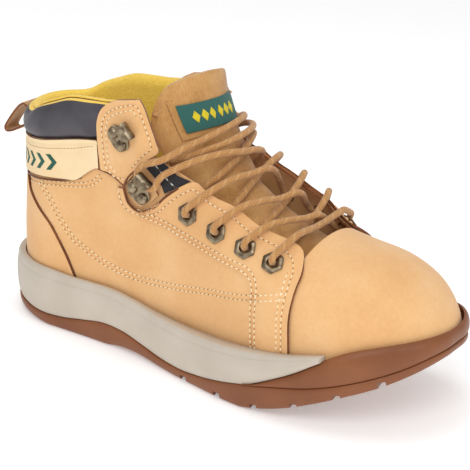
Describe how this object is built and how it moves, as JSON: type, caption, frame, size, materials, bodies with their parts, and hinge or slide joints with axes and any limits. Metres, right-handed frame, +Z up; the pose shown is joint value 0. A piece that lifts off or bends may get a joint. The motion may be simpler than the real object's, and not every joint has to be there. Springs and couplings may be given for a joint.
{
  "type": "steel toe work boot",
  "caption": "Ankle-height steel toe work boot for the right foot in tan nubuck, laced through eyelets and hooks, with a cup sole and a gum rubber toe guard.",
  "frame": {"origin": "On the ground under the middle of the heel's tread, at the mount ground_face.", "axes": "+X from heel to toe, +Y towards the inside of the foot, +Z up."},
  "size_m": [0.3227, 0.1186, 0.1663],
  "materials": {
    "nubuck": "matt napped nubuck",
    "cream": "smooth satin leather",
    "suede": "suede",
    "collar": "soft padded synthetic leather",
    "lining": "brushed textile",
    "webbing": "woven webbing",
    "strap": "woven-backed leather strap",
    "label": "woven patch",
    "gum": "moulded gum rubber",
    "midsole": "moulded cup, satin",
    "steel": "pressed steel",
    "pewter": "antique pewter plating",
    "board": "felted board",
    "lace": "round braided cord"
  },
  "bodies": {
    "root": {"outsole": "gum", "toe_bumper": "gum", "midsole": "midsole", "insole_board": "board", "steel_midsole_plate": "steel", "vamp": "nubuck", "steel_toe_cap": "steel", "vamp_lining": "board", "heel_counter": "nubuck", "heel_stiffener": "board", "back_stay": "nubuck", "ankle_band": "cream", "collar": "collar", "lining": "lining", "lace_lateral_half": "lace", "lace_medial_half": "lace", "quarter_lateral": "nubuck", "eyestay_lateral": "nubuck", "hook_flap_lateral": "nubuck", "hook_tab_lateral": "nubuck", "hook_webbing_lateral": "webbing", "eyelet_lateral_1": "pewter", "eyelet_lateral_2": "pewter", "eyelet_lateral_3": "pewter", "eyelet_lateral_4": "pewter", "hook_upper_lateral": "pewter", "rivet_upper_lateral_1": "pewter", "rivet_upper_lateral_2": "pewter", "hook_lower_lateral": "pewter", "rivet_lower_lateral_1": "pewter", "rivet_lower_lateral_2": "pewter", "quarter_medial": "nubuck", "eyestay_medial": "nubuck", "hook_flap_medial": "nubuck", "hook_tab_medial": "nubuck", "hook_webbing_medial": "webbing", "eyelet_medial_1": "pewter", "eyelet_medial_2": "pewter", "eyelet_medial_3": "pewter", "eyelet_medial_4": "pewter", "hook_upper_medial": "pewter", "rivet_upper_medial_1": "pewter", "rivet_upper_medial_2": "pewter", "hook_lower_medial": "pewter", "rivet_lower_medial_1": "pewter", "rivet_lower_medial_2": "pewter"},
    "tongue": {"tongue": "suede", "tongue_label": "label"},
    "pull_loop": {"pull_loop": "strap"},
    "footbed": {"footbed": "board"}
  },
  "joints": [
    {"name": "tongue_tilt", "type": "hinge", "parent": "root", "child": "tongue", "pos_m": [0.17056, 0, 0.07901], "axis": [0, -1, 0], "range_deg": [0, 2]},
    {"name": "pull_loop_flop", "type": "hinge", "parent": "root", "child": "pull_loop", "pos_m": [-0.06429, 0, 0.12152], "axis": [0, 1, 0], "range_deg": [-8, 15]},
    {"name": "footbed_lift", "type": "hinge", "parent": "root", "child": "footbed", "pos_m": [0.20569, 0, 0.03853], "axis": [0, 1, 0], "range_deg": [0, 2.5]}
  ]
}
